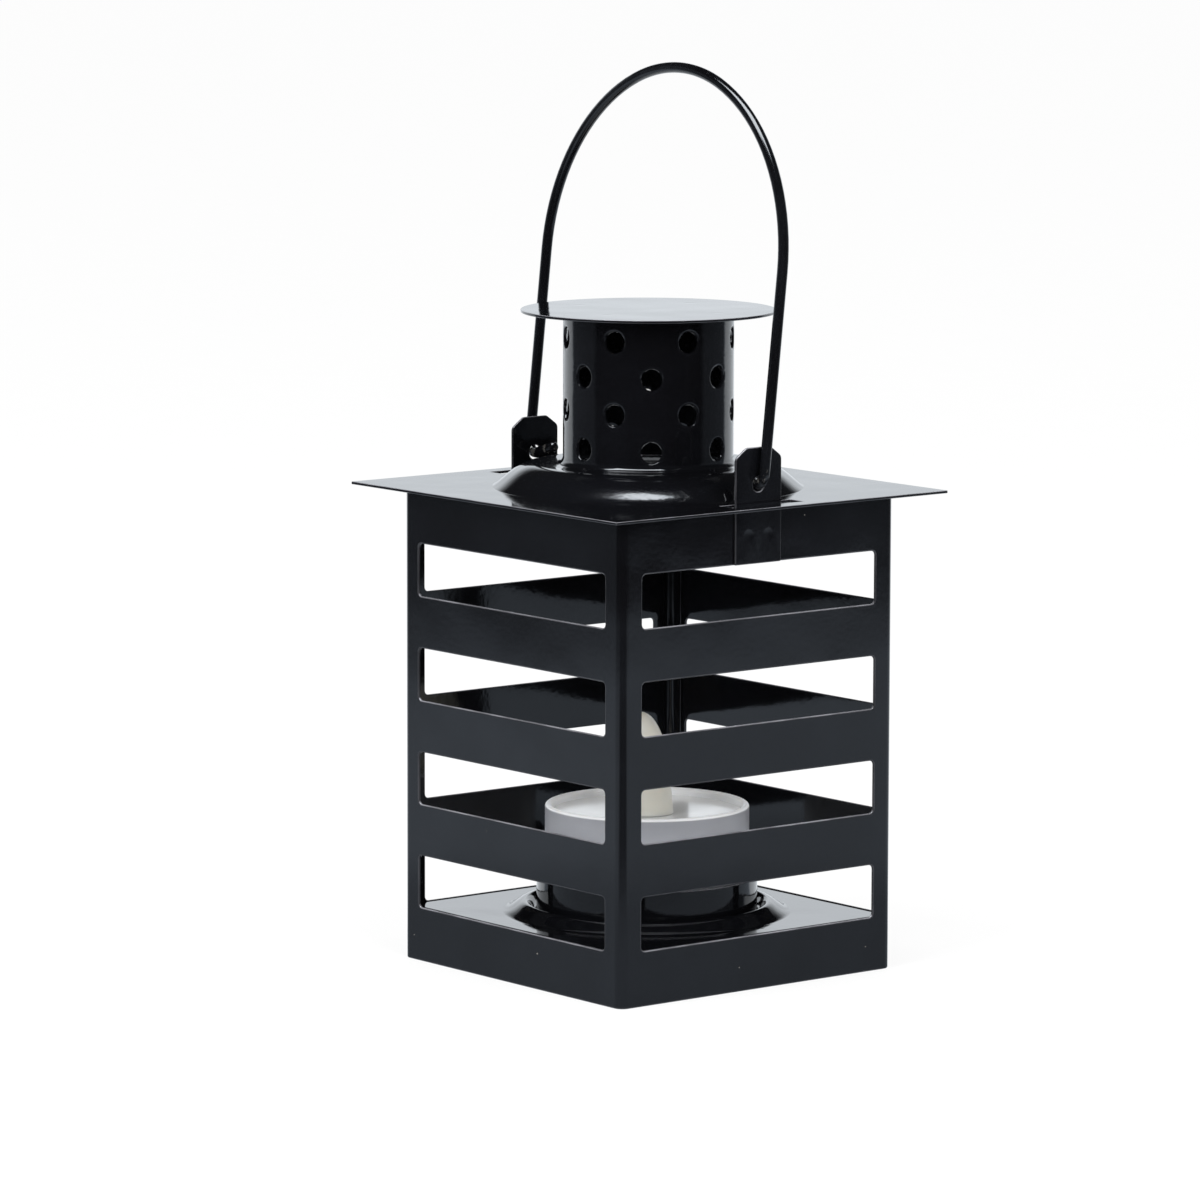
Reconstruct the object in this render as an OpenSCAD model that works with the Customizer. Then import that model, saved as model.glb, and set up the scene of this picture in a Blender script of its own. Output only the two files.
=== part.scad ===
// Slatted sheet-metal candle lantern with a wire bail and a battery tealight. Millimetres.
// Origin: centre of the bottom rim. +Z up. The bail swings about an axis along X, above the roof.

/* [Sheet metal] */
// Thickness of the pressed sheet
sheet_t = 0.5; // [0.35:0.05:0.8]

/* [Body] */
// Outer width of the square body
body_w = 62; // [56:0.5:80]
// Outside radius of the bent corners
bend_r = 1.8; // [1.2:0.1:3]
// Height of the plain band below the lowest slots
base_band = 9.7; // [8.5:0.1:14]
// Height of one slot
slot_h = 9.4; // [6:0.1:12]
// Height of the slat between two slots
slat_h = 9.3; // [6:0.1:12]
// Height of the plain band above the top slots
top_band = 10; // [8:0.1:14]
// Number of slots up each side
slot_rows = 4; // [4:1:6]
// Sheet left beside a slot, measured from the outside of the corner
post_w = 4.6; // [3.6:0.1:7]
// Radius in the corners of a slot
slot_corner_r = 0.8; // [0.4:0.1:2]
// Width of the lap behind the seam in the rear corner
lap_w = 2.2; // [1.6:0.1:2.8]
// Open width of the seam
seam_gap = 0.2; // [0.1:0.05:0.4]

/* [Base] */
// Step from the lower edge of the lowest slots down to the base plate
plate_drop = 0.1; // [0:0.1:1.5]
// Height of the flanges turned down around the base plate
flange_h = 6; // [3:0.5:7]
// Room between the base plate's notched corners and the bends and lap of the body
notch_play = 0.2; // [0.1:0.1:1]
// Height of the round bead pressed into the base plate
bead_h = 1.8; // [0.6:0.1:3]
// Radial width of the bead
bead_w = 6; // [4.5:0.1:7]
// Distance from the bead's inner foot to its crest
bead_crest = 1.8; // [1.6:0.1:2.2]
// Flat left between the candle cup and the bead
bead_gap = 0.2; // [0.2:0.1:0.8]

/* [Candle cup] */
// Height of the candle cup
cup_h = 6.6; // [4:0.1:10]
// Sheet thickness of the candle cup
cup_t = 0.4; // [0.3:0.05:0.6]
// Play between the tealight and the cup wall
cup_play = 1.1; // [0.4:0.1:2]
// Radius round the foot of the cup
cup_foot_r = 1; // [0.6:0.1:2]

/* [Roof] */
// Overhang of the square roof plate beyond the body
eave = 6.5; // [5:0.5:20]
// Radius at the foot of the pressed dome
dome_foot_r = 27.6; // [25.5:0.1:28]
// Radius of the dome's crest
dome_crest_r = 20; // [19:0.1:22]
// Height of the crest above the plate
dome_h = 4.2; // [2.5:0.1:5]
// Step from the crest down to the chimney's seat
seat_drop = 0.1; // [0:0.1:1]
// Radius where the flat seat begins
seat_r = 16.8; // [16.2:0.1:18]
// Radius of the vent under the chimney
vent_r = 12.6; // [10:0.1:13]
// Length of the slots that the ears stand in
ear_slot_len = 16; // [13:0.5:20]
// Room between an ear or the bail and the edge of its roof slot
ear_slot_gap = 0.4; // [0.3:0.05:0.8]

/* [Chimney] */
// Outer radius of the chimney
chimney_r = 15.1; // [14:0.1:16]
// Height of the chimney between its rims
chimney_h = 26.8; // [25:0.1:40]
// Width of the rims turned in at both ends
rim_turn = 2; // [1.5:0.1:2.6]
// Radius of the bend into each rim
rim_bend_r = 0.9; // [0.7:0.05:1.2]
// Radius of the vent holes
hole_r = 1.85; // [1:0.05:2.4]
// Rows of vent holes
hole_rows = 4; // [2:1:4]
// Holes in one row
hole_count = 7; // [5:1:8]
// Height from one row to the next
hole_pitch = 6.4; // [5.5:0.1:6.8]
// Height of the lowest row above the foot of the chimney
hole_first = 3.4; // [3.2:0.1:4]
// Turn of the lowest row about the chimney
hole_turn = -37; // [-90:1:90]

/* [Cap] */
// Radius of the flat cap on the chimney
cap_r = 22.6; // [18:0.1:26]

/* [Ears] */
// Distance by which the ears and the bail stand in front of the middle
ear_shift = 1; // [0:0.1:2]
// Width of an ear
ear_w = 10.4; // [8:0.1:12]
// Height of an ear above the body's top edge
ear_rise = 10.3; // [8:0.1:12]
// Length of an ear's slanted top corner, across
ear_cut_w = 2.5; // [1:0.1:3.5]
// Length of an ear's slanted top corner, down
ear_cut_h = 1.8; // [0.8:0.1:3]
// Height of the bail's hinge axis above the body's top edge
hinge_rise = 3.8; // [3.5:0.1:5]
// Radius of the hole in an ear
ear_hole_r = 1.3; // [1.25:0.05:1.6]
// Distance between the two spot welds of an ear
weld_pitch = 4.4; // [3:0.1:6]
// Radius of a spot weld's dent
weld_r = 0.9; // [0.5:0.1:1.2]
// Depth of a spot weld's dent
weld_dent = 0.15; // [0.05:0.05:0.25]

/* [Bail] */
// Radius of the bail wire
wire_r = 0.95; // [0.7:0.05:1]
// Height of the straight legs above the hinge axis
leg_h = 37; // [30:0.5:50]
// Distance by which each end of the crown stands in from its leg
crown_inset = 2.4; // [1:0.05:3]
// Height over which the legs curve in to the crown's full width
crown_rise = 3.6; // [3.5:0.1:8]
// Bend radius of the hooks, on the wire's middle line
hook_r = 1.9; // [1.7:0.05:2.3]
// Straight length of a hook's end
hook_len = 4.5; // [2:0.1:5]
// Upward slant of a hook's end, degrees
hook_rise = 17; // [0:1:25]
// Gap between an ear and the leg outside it
leg_gap = 0.3; // [0.2:0.05:0.6]
// Lean of the bail as it stands, degrees from upright
bail_lean = 6.2; // [0:0.1:15]

/* [Tealight] */
// Radius of the tealight
light_r = 18.2; // [17.5:0.1:19.5]
// Height of the tealight's cup
light_h = 18.9; // [16:0.1:22]
// Thickness of the cup wall and its round lip
light_wall = 1.2; // [0.9:0.1:1.6]
// Depth from the lip to the edge of the dish
dish_depth = 1.3; // [0.8:0.1:2.5]
// Sag of the dish in its middle
dish_sag = 0.6; // [0.2:0.1:1]
// Thickness of the dish
dish_t = 1; // [0.8:0.1:1.4]
// Room all round between the tealight's mouldings
mould_gap = 0.1; // [0.05:0.05:0.2]
// Height that the base stands clear of what the tealight rests on
foot_recess = 1; // [0.9:0.1:1.6]
// Thickness of the base
base_t = 1.4; // [1.3:0.1:2]

/* [Flame] */
// Radius of the flame at the dish
flame_r = 4.7; // [4.2:0.1:5.5]
// Height of the flame above the dish
flame_h = 19; // [17:0.5:24]
// Lean of the flame, degrees from upright
flame_lean = 5; // [0:1:8]
// Direction in which the flame leans, degrees from +X
flame_heading = 231; // [0:1:359]
// Height of the collar that holds the flame under the dish
collar_h = 3; // [2:0.1:4]

/* [Lamp and cell] */
// Radius of the lamp's bulb
led_r = 2.5; // [1.5:0.1:2.5]
// Height of the lamp's bulb with its dome
led_h = 8.6; // [6:0.1:9]
// Distance between the lamp's two legs
lead_pitch = 2.54; // [1.6:0.01:2.6]
// Width of the ring around the coin cell, which holds the screw and the switch
cell_ring = 8.2; // [8:0.1:10]
// Thickness of the coin cell
cell_h = 3.2; // [2:0.1:3.2]
// Thickness of the contact strips
strip_t = 0.3; // [0.2:0.05:0.4]
// Travel of the switch knob
switch_travel = 2; // [1:0.1:2.4]

/* [Hidden] */
$fn = 96;

over = 1;                                       // run-past of a cutting tool
press_lap = 0.2;                                // a pressed outline runs this far into the flat around it
black = "#17181b";
paint_edge = "#202226";
milk = "#dfe3e4";

slot_pitch = slot_h + slat_h;
body_h = base_band + slot_rows * slot_h + (slot_rows - 1) * slat_h + top_band;
body_in = body_w - 2 * sheet_t;
slot_len = body_w - 2 * post_w;
plate_z = base_band - plate_drop;               // top of the base plate
corner_notch = bend_r - sheet_t + notch_play;
lap_notch = lap_w - seam_gap;                   // the plate gives way to the lap by this much more

cup_r = light_r + cup_play + cup_t;
light_z = plate_z + cup_t;                      // the tealight stands on the cup's floor
bead_in = cup_r + bead_gap;

roof_w = body_w + 2 * eave;
roof_top = body_h + sheet_t;
seat_z = roof_top + dome_h - seat_drop;         // foot of the chimney
cap_z = seat_z + chimney_h;

hinge_z = body_h + hinge_rise;
ear_mid = (body_w + sheet_t) / 2;
leg_x = body_w / 2 + sheet_t + leg_gap + wire_r;
crown_r = leg_x - crown_inset;
side_r = crown_r + (crown_inset + crown_rise * crown_rise / crown_inset) / 2;
crown_meet = atan2(crown_rise, side_r - leg_x); // angle at which the side arcs run into the crown
wire_swell = 0.02;                              // the wire is this much fuller where two bends meet
ear_slot_in = body_w / 2 - ear_slot_gap;
ear_slot_out = leg_x + wire_r + ear_slot_gap;

lip_r = light_wall / 2;
bore_r = light_r - light_wall;                  // inside of the tealight's wall
ledge_w = 0.8;                                  // ledges that carry the dish and stop the base
ledge_t = 0.8;
dish_z = light_h - dish_depth;                  // edge of the dish, above the tealight's foot
dish_mid = dish_z - dish_sag;                   // middle of the dish
ledge_z = dish_z - dish_t;                      // the dish rests here

flame_step = 0.9;                               // the flame's foot overhangs its spigot by this
collar_t = 1.2;
spigot_r = flame_r - flame_step;                // lower end of the flame, in its collar
flame_bore = led_r + mould_gap;
led_z = light_z + dish_mid - collar_h;          // flange of the lamp
led_flange_w = 0.4;
led_flange_r = led_r + led_flange_w;
led_flange_t = 1;
lead_r = 0.25;

cell_r = light_r - cell_ring;
door_t = 0.7;
door_rim = 0.7;                                 // the door covers the well's mouth by this all round
well_play = 0.4;                                // room around the cell in its well
well_r = cell_r + well_play;                    // battery well in the base
well_wall = 1;
door_r = well_r + door_rim;
cell_z = light_z + foot_recess + door_t + strip_t;
plate_strip_z = cell_z + cell_h;
strip_w = 4;
boss_r = 2.2;
boss_h = 3;
boss_roof = 0.6;                                // left above the screw's hole
boss_play = 0.2;                                // room between the screw's boss and the round of the door
screw_x = door_r + boss_play + boss_r;          // on the -X side of the base
screw_head_r = 1.5;
screw_r = 0.8;
tab_w = 5;
tab_end = screw_x + boss_r;
spring_inset = 2;                               // the contact spring stops this far inside the cell's edge
knob_w = 2.4;
knob_d = 1.8;
knob_flange = 0.7;
knob_lip_x = 1;                                 // overhang of the knob's flange along the slot
knob_lip_y = 0.6;                               // and across it
knob_play = 0.15;
knob_room = 1.5;                                // from the battery well to the knob
knob_y = -(well_r + well_wall + knob_room + knob_d / 2);    // switch, on the -Y side of the base

// ---- outlines -----------------------------------------------------------------------------

// Rectangle with round corners, about the origin
module rounded_rect(w, h, r) {
    square([w - 2 * r, h], center = true);
    square([w, h - 2 * r], center = true);
    for (sx = [-1, 1], sy = [-1, 1])
        translate([sx * (w / 2 - r), sy * (h / 2 - r)]) circle(r = r);
}

// Points of an arc about c, from angle a0 to a1
function arc(c, r, a0, a1, steps) =
    [for (i = [0 : steps]) let (a = a0 + (a1 - a0) * i / steps) c + r * [cos(a), sin(a)]];

// Points of a smooth step from [r0, z0] to [r1, z1], level at both ends
function step_curve(r0, z0, r1, z1, steps) =
    [for (i = [0 : steps]) let (u = i / steps) [r0 + (r1 - r0) * u, z0 + (z1 - z0) * (1 - cos(180 * u)) / 2]];

// Points of a round shoulder from [r0, z0] down to a soft foot at [r1, z1]
function shoulder_curve(r0, z0, r1, z1, steps) =
    [for (i = [0 : steps]) let (a = 90 * i / steps) [r0 + (r1 - r0) * sin(a), z1 + (z0 - z1) * pow(cos(a), 2.6)]];

function lifted(points, dz) = [for (p = points) p + [0, dz]];
function backwards(points) = [for (i = [len(points) - 1 : -1 : 0]) points[i]];

// Outline of pressed sheet whose upper face follows the points
function sheet_outline(points, t) = concat(points, backwards(lifted(points, -t)));

module on_both_sides() {
    children();
    mirror([1, 0, 0]) children();
}

// ---- body ---------------------------------------------------------------------------------

// One slot right through two opposite walls, in row 0, 1, 2 ...
module slot_pair(row) {
    translate([0, 0, base_band + row * slot_pitch + slot_h / 2])
        rotate([90, 0, 0])
            linear_extrude(body_w + 2 * over, center = true)
                rounded_rect(slot_len, slot_h, slot_corner_r);
}

// The strip is bent round to a square tube and lapped behind the seam at the rear corner
module body_shell() {
    seam_x = -(body_w / 2 - bend_r);
    color(black) difference() {
        union() {
            linear_extrude(body_h) difference() {
                rounded_rect(body_w, body_w, bend_r);
                rounded_rect(body_in, body_in, bend_r - sheet_t);
            }
            translate([seam_x - seam_gap, body_in / 2 - sheet_t, 0])
                cube([lap_w, 1.5 * sheet_t, body_h]);
        }
        for (row = [0 : slot_rows - 1], turn = [0, 90])
            rotate([0, 0, turn]) slot_pair(row);
        translate([seam_x, body_in / 2, -over])
            cube([seam_gap, sheet_t + over, body_h + 2 * over]);
    }
}

// ---- base ---------------------------------------------------------------------------------

// Outline of the plate: a square with its corners notched for the folded flanges, one of them for the lap too
module notched_square(w) {
    difference() {
        union() {
            square([w - 2 * corner_notch, w], center = true);
            square([w, w - 2 * corner_notch], center = true);
        }
        translate([-w / 2 - over, w / 2 - corner_notch])
            square([over + corner_notch + lap_notch, corner_notch + over]);
    }
}

module base_plate() {
    bead_mid = bead_in + bead_crest;
    bead_out = bead_in + bead_w;
    crest = concat([[bead_in - press_lap, 0]], step_curve(bead_in, 0, bead_mid, bead_h, 8),
                   step_curve(bead_mid, bead_h, bead_out, 0, 8), [[bead_out + press_lap, 0]]);
    color(black) translate([0, 0, plate_z]) union() {
        difference() {
            translate([0, 0, -sheet_t]) linear_extrude(sheet_t) notched_square(body_in);
            translate([0, 0, -sheet_t - over]) linear_extrude(sheet_t + 2 * over) difference() {
                circle(r = bead_out);
                circle(r = bead_in);
            }
        }
        rotate_extrude() polygon(sheet_outline(crest, sheet_t));
        for (turn = [0 : 90 : 270])
            rotate([0, 0, turn])
                translate([-(body_in / 2 - corner_notch), -body_in / 2, -flange_h])
                    cube([body_in - 2 * corner_notch - (turn == 180 ? lap_notch : 0), sheet_t, flange_h]);
    }
}

// Shallow pressed cup that keeps the tealight in the middle of the plate
module candle_cup() {
    bend = cup_foot_r;
    outer = concat([[0, 0]], arc([cup_r - bend, bend], bend, -90, 0, 6), [[cup_r, cup_h]]);
    inner = concat([[cup_r - cup_t, cup_h]],
                   arc([cup_r - bend, bend], bend - cup_t, 0, -90, 6), [[0, cup_t]]);
    color(black) translate([0, 0, plate_z])
        rotate_extrude() polygon(concat(outer, inner));
}

// ---- ears ---------------------------------------------------------------------------------

// Strip with cut top corners, drawn with +X across and +Y up from the body's top slots
module ear_outline() {
    foot = -top_band;
    difference() {
        polygon([[-ear_w / 2, foot], [ear_w / 2, foot],
                 [ear_w / 2, ear_rise - ear_cut_h], [ear_w / 2 - ear_cut_w, ear_rise],
                 [-ear_w / 2 + ear_cut_w, ear_rise], [-ear_w / 2, ear_rise - ear_cut_h]]);
        translate([0, hinge_rise]) circle(r = ear_hole_r);
    }
}

module ear() {
    dent_r = (weld_r * weld_r + weld_dent * weld_dent) / (2 * weld_dent);
    difference() {
        translate([body_w / 2, -ear_shift, body_h])
            rotate([90, 0, 90])
                linear_extrude(sheet_t) ear_outline();
        for (side = [-1, 1])
            translate([body_w / 2 + sheet_t + dent_r - weld_dent, side * weld_pitch / 2 - ear_shift,
                       body_h - top_band / 2])
                sphere(r = dent_r);
    }
}

module ear_right() {
    color(paint_edge) ear();
}

module ear_left() {
    color(paint_edge) mirror([1, 0, 0]) ear();
}

// ---- roof, chimney and cap ----------------------------------------------------------------

module roof_plate() {
    press = concat([[vent_r, dome_h - seat_drop]],
                   step_curve(seat_r, dome_h - seat_drop, dome_crest_r, dome_h, 6),
                   shoulder_curve(dome_crest_r, dome_h, dome_foot_r, 0, 12), [[dome_foot_r + press_lap, 0]]);
    color(black) translate([0, 0, roof_top]) {
        translate([0, 0, -sheet_t]) linear_extrude(sheet_t) difference() {
            square(roof_w, center = true);
            circle(r = dome_foot_r);
            on_both_sides()
                translate([ear_slot_in, -ear_slot_len / 2 - ear_shift])
                    square([ear_slot_out - ear_slot_in, ear_slot_len]);
        }
        rotate_extrude() polygon(sheet_outline(press, sheet_t));
    }
}

// Perforated tube with a rim turned in at both ends
module chimney() {
    outer_foot = arc([chimney_r - rim_bend_r, rim_bend_r], rim_bend_r, -90, 0, 5);
    inner_foot = arc([chimney_r - rim_bend_r, rim_bend_r], rim_bend_r - sheet_t, 0, -90, 5);
    flip = function (points) [for (p = backwards(points)) [p[0], chimney_h - p[1]]];
    rim_r = chimney_r - rim_turn;
    wall = concat([[rim_r, 0]], outer_foot, flip(outer_foot),
                  [[rim_r, chimney_h], [rim_r, chimney_h - sheet_t]],
                  flip(inner_foot), inner_foot, [[rim_r, sheet_t]]);
    color(black) translate([0, 0, seat_z]) difference() {
        rotate_extrude() polygon(wall);
        for (row = [0 : hole_rows - 1], i = [0 : hole_count - 1])
            rotate([0, 0, hole_turn + (i + row % 2 / 2) * 360 / hole_count])
                translate([chimney_r - rim_turn, 0, hole_first + row * hole_pitch])
                    rotate([0, 90, 0]) cylinder(r = hole_r, h = rim_turn + over);
    }
}

module chimney_cap() {
    color(paint_edge) translate([0, 0, cap_z]) cylinder(r = cap_r, h = sheet_t);
}

// ---- bail ---------------------------------------------------------------------------------

module wire(length) {
    cylinder(r = wire_r, h = length);
}

// Bent wire in the XY plane, from angle a0 to a1 about its centre
module bent_wire(centre, r, a0, a1) {
    translate(centre) rotate([0, 0, a0])
        rotate_extrude(angle = a1 - a0) translate([r, 0]) circle(r = wire_r);
}

// Round end of a stretch of wire, which closes it on the next stretch
module wire_end(place) {
    translate(place) sphere(r = wire_r + wire_swell);
}

// Side arc, leg and hook of the bail in the XY plane, with +Y up and the hinge axis at y = 0
module bail_leg() {
    hook_mid = [leg_x - hook_r, sqrt(hook_r * hook_r - pow(ear_mid - leg_x + hook_r, 2))];
    hook_turn = 90 + hook_rise;
    hook_out = hook_mid + hook_r * [cos(hook_turn), -sin(hook_turn)];
    bent_wire([leg_x - side_r, leg_h], side_r, 0, crown_meet);
    wire_end([leg_x, leg_h]);
    translate([leg_x, hook_mid[1]]) rotate([-90, 0, 0]) wire(leg_h - hook_mid[1]);
    wire_end([leg_x, hook_mid[1]]);
    bent_wire(hook_mid, hook_r, -hook_turn, 0);
    wire_end(hook_out);
    translate(hook_out) rotate([0, 0, -hook_rise]) rotate([0, -90, 0]) wire(hook_len);
    wire_end(hook_out + hook_len * [-cos(hook_rise), sin(hook_rise)]);
}

module bail() {
    crown_mid = [0, leg_h + crown_rise];
    color(black) translate([0, -ear_shift, hinge_z]) rotate([90 - bail_lean, 0, 0]) {
        bent_wire(crown_mid, crown_r, crown_meet, 180 - crown_meet);
        on_both_sides() {
            wire_end(crown_mid + crown_r * [cos(crown_meet), sin(crown_meet)]);
            bail_leg();
        }
    }
}

// ---- tealight -----------------------------------------------------------------------------

// Wall with a round lip, a ledge for the dish and one for the base
module tealight_cup() {
    lip_z = light_h - lip_r;
    base_top = foot_recess + base_t;
    outline = concat([[light_r, 0]], arc([light_r - lip_r, lip_z], lip_r, 0, 180, 12),
                     [[bore_r, ledge_z], [bore_r - ledge_w, ledge_z],
                      [bore_r - ledge_w, ledge_z - ledge_t], [bore_r, ledge_z - 2 * ledge_t],
                      [bore_r, base_top + 2 * ledge_t], [bore_r - ledge_w, base_top + ledge_t],
                      [bore_r - ledge_w, base_top], [bore_r, base_top], [bore_r, 0]]);
    color(milk) translate([0, 0, light_z]) rotate_extrude() polygon(outline);
}

// Hollow dish with the collar that grips the flame
module tealight_top() {
    edge = bore_r - mould_gap;
    dip = function (r) dish_z - dish_sag * (1 - pow(r / edge, 2));
    steps = 12;
    face = [for (i = [0 : steps])
                let (r = spigot_r + mould_gap + (edge - spigot_r - mould_gap) * i / steps) [r, dip(r)]];
    collar_in = spigot_r + mould_gap;
    collar_out = collar_in + collar_t;
    color("#eef1f2") translate([0, 0, light_z]) rotate_extrude()
        polygon(concat(face, [[edge, ledge_z], [bore_r - ledge_w - mould_gap, ledge_z],
                              [collar_out, ledge_z - dish_sag],
                              [collar_out, dish_mid - collar_h], [collar_in, dish_mid - collar_h]]));
}

// Plump leaning flame, hollow over the lamp, on a spigot in the dish's collar
module flame() {
    steps = 16;
    skin = [for (i = [0 : steps]) let (u = sin(90 * i / steps))
                [flame_r * sqrt(max(0, 1 - pow(u, 4))), flame_h * u]];
    color("#ece6d2") translate([0, 0, light_z + dish_mid]) difference() {
        union() {
            translate([0, 0, -collar_h + led_flange_t]) cylinder(r = spigot_r, h = collar_h);
            intersection() {
                rotate([0, 0, flame_heading]) rotate([0, flame_lean, 0])
                    translate([0, 0, -dish_sag]) rotate_extrude() polygon(concat([[0, 0]], skin));
                translate([0, 0, dish_sag / 4])
                    cylinder(r = 2 * flame_r, h = 2 * flame_h);
            }
        }
        translate([0, 0, -collar_h]) cylinder(r = flame_bore, h = led_h + mould_gap);
    }
}

// Clear bulb with a domed end and a flange
module led() {
    barrel = led_h - led_r;
    color("#f2f2ea") translate([0, 0, led_z]) rotate_extrude()
        polygon(concat([[0, 0], [led_flange_r, 0], [led_flange_r, led_flange_t], [led_r, led_flange_t]],
                       arc([0, barrel], led_r, 0, 90, 8)));
}

module led_legs() {
    foot = plate_strip_z + strip_t;
    color("silver") on_both_sides()
        translate([lead_pitch / 2, 0, foot]) cylinder(r = lead_r, h = led_z - foot);
}

// Coin cell: a wide can with the smaller pole raised underneath
module coin_cell() {
    pole_r = cell_r - 1.1;
    pole_h = 0.25;
    edge = 0.3;
    color("silver") translate([0, 0, cell_z]) rotate_extrude()
        polygon([[0, 0], [pole_r, 0], [pole_r, pole_h], [cell_r - edge, pole_h], [cell_r, pole_h + edge],
                 [cell_r, cell_h - edge], [cell_r - edge, cell_h], [0, cell_h]]);
}

// Strip across the top of the cell, hooked over the wall of the battery well
module contact_plate() {
    reach = well_r + well_wall;
    color("gold") translate([-strip_w / 2, -reach, plate_strip_z]) cube([strip_w, 2 * reach, strip_t]);
}

// Strip under the cell, on the battery door
module contact_spring() {
    reach = cell_r - spring_inset;
    color("gold") translate([-reach, -strip_w / 2, cell_z - strip_t]) cube([2 * reach, strip_w, strip_t]);
}

// Disc with the battery well, the screw boss and the slot for the switch
module tealight_base() {
    slot_l = knob_w + switch_travel + 2 * knob_play;
    slot_d = knob_d + 2 * knob_play;
    well_h = cell_z + cell_h - light_z - foot_recess;
    color(milk) translate([0, 0, light_z + foot_recess]) difference() {
        union() {
            cylinder(r = bore_r - mould_gap, h = base_t);
            cylinder(r = well_r + well_wall, h = well_h);
            translate([-screw_x, 0, 0]) cylinder(r = boss_r, h = base_t + boss_h);
        }
        translate([0, 0, -over]) cylinder(r = well_r, h = well_h + 2 * over);
        translate([0, 0, -over]) linear_extrude(over + door_t) door_outline(mould_gap);
        translate([-screw_x, 0, 0]) cylinder(r = screw_r + mould_gap / 2, h = base_t + boss_h - boss_roof);
        translate([0, knob_y, base_t / 2]) cube([slot_l, slot_d, base_t + 2 * over], center = true);
    }
}

// Round door with a screw tab, grown by the room around it
module door_outline(room) {
    circle(r = door_r + room);
    translate([-tab_end - room, -tab_w / 2 - room]) square([tab_end + room, tab_w + 2 * room]);
}

module battery_door() {
    color("#d4d9da") translate([0, 0, light_z + foot_recess]) difference() {
        linear_extrude(door_t) door_outline(0);
        translate([-screw_x, 0, -over]) cylinder(r = screw_r + mould_gap, h = door_t + 2 * over);
    }
}

module door_screw() {
    head_t = 0.6;
    thread_h = 3;
    slot_w = 0.4;
    color("silver") translate([-screw_x, 0, light_z + foot_recess]) difference() {
        union() {
            translate([0, 0, -head_t]) cylinder(r = screw_head_r, h = head_t);
            cylinder(r = screw_r, h = thread_h);
        }
        for (turn = [0, 90])
            rotate([0, 0, turn]) translate([0, 0, -head_t])
                cube([2 * screw_head_r - 1, slot_w, head_t], center = true);
    }
}

// Knob with a flange inside the base and a ribbed nub outside
module switch_knob() {
    nub = foot_recess / 2;
    start = -switch_travel / 2;
    color("#3a3c40") translate([start, knob_y, light_z + foot_recess]) {
        translate([-knob_w / 2, -knob_d / 2, -nub]) cube([knob_w, knob_d, base_t + knob_play + nub + knob_flange]);
        translate([-knob_w / 2 - knob_lip_x, -knob_d / 2 - knob_lip_y, base_t + knob_play])
            cube([knob_w + 2 * knob_lip_x, knob_d + 2 * knob_lip_y, knob_flange]);
    }
}

body_shell();
base_plate();
candle_cup();
ear_left();
ear_right();
roof_plate();
chimney();
chimney_cap();
bail();
tealight_cup();
tealight_top();
flame();
led();
led_legs();
coin_cell();
contact_plate();
contact_spring();
tealight_base();
battery_door();
door_screw();
switch_knob();
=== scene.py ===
from math import asin, atan2, cos, degrees, pi, radians, sin, sqrt, tan

import bmesh
import bpy
from mathutils import Matrix, Vector


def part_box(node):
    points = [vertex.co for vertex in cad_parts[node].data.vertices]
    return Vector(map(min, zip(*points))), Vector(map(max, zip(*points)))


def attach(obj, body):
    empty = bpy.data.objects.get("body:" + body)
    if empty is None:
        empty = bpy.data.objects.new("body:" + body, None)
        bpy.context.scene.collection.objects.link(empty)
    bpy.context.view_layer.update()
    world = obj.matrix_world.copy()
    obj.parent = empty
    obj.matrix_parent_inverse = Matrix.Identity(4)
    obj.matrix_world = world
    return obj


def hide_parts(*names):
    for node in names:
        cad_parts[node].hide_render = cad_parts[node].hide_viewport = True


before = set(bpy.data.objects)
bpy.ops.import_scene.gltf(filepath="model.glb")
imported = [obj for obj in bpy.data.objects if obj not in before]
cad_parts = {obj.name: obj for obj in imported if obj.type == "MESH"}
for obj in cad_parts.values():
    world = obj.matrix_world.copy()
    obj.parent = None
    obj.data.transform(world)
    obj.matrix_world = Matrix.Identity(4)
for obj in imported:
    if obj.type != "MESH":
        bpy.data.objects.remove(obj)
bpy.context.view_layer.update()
print("frame loaded,", len(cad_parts), "nodes")


# shader helpers

class Signal:
    # an output socket that can be used in sums: each operator adds a Math node, and | takes the larger
    def __init__(self, finish, socket):
        self.finish = finish
        self.socket = socket

    def maths(self, operation, first, second):
        return self.finish.node("Math", {"operation": operation}, {0: first, 1: second})

    def other(self, output):
        # another output of the same node
        return Signal(self.finish, self.socket.node.outputs[output])

    def __add__(self, other):
        return self.maths("ADD", self, other)

    def __radd__(self, other):
        return self.maths("ADD", other, self)

    def __sub__(self, other):
        return self.maths("SUBTRACT", self, other)

    def __rsub__(self, other):
        return self.maths("SUBTRACT", other, self)

    def __mul__(self, other):
        return self.maths("MULTIPLY", self, other)

    def __rmul__(self, other):
        return self.maths("MULTIPLY", other, self)

    def __truediv__(self, other):
        return self.maths("DIVIDE", self, other)

    def __rtruediv__(self, other):
        return self.maths("DIVIDE", other, self)

    def __or__(self, other):
        return self.maths("MAXIMUM", self, other)

    def __ror__(self, other):
        return self.maths("MAXIMUM", other, self)


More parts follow.
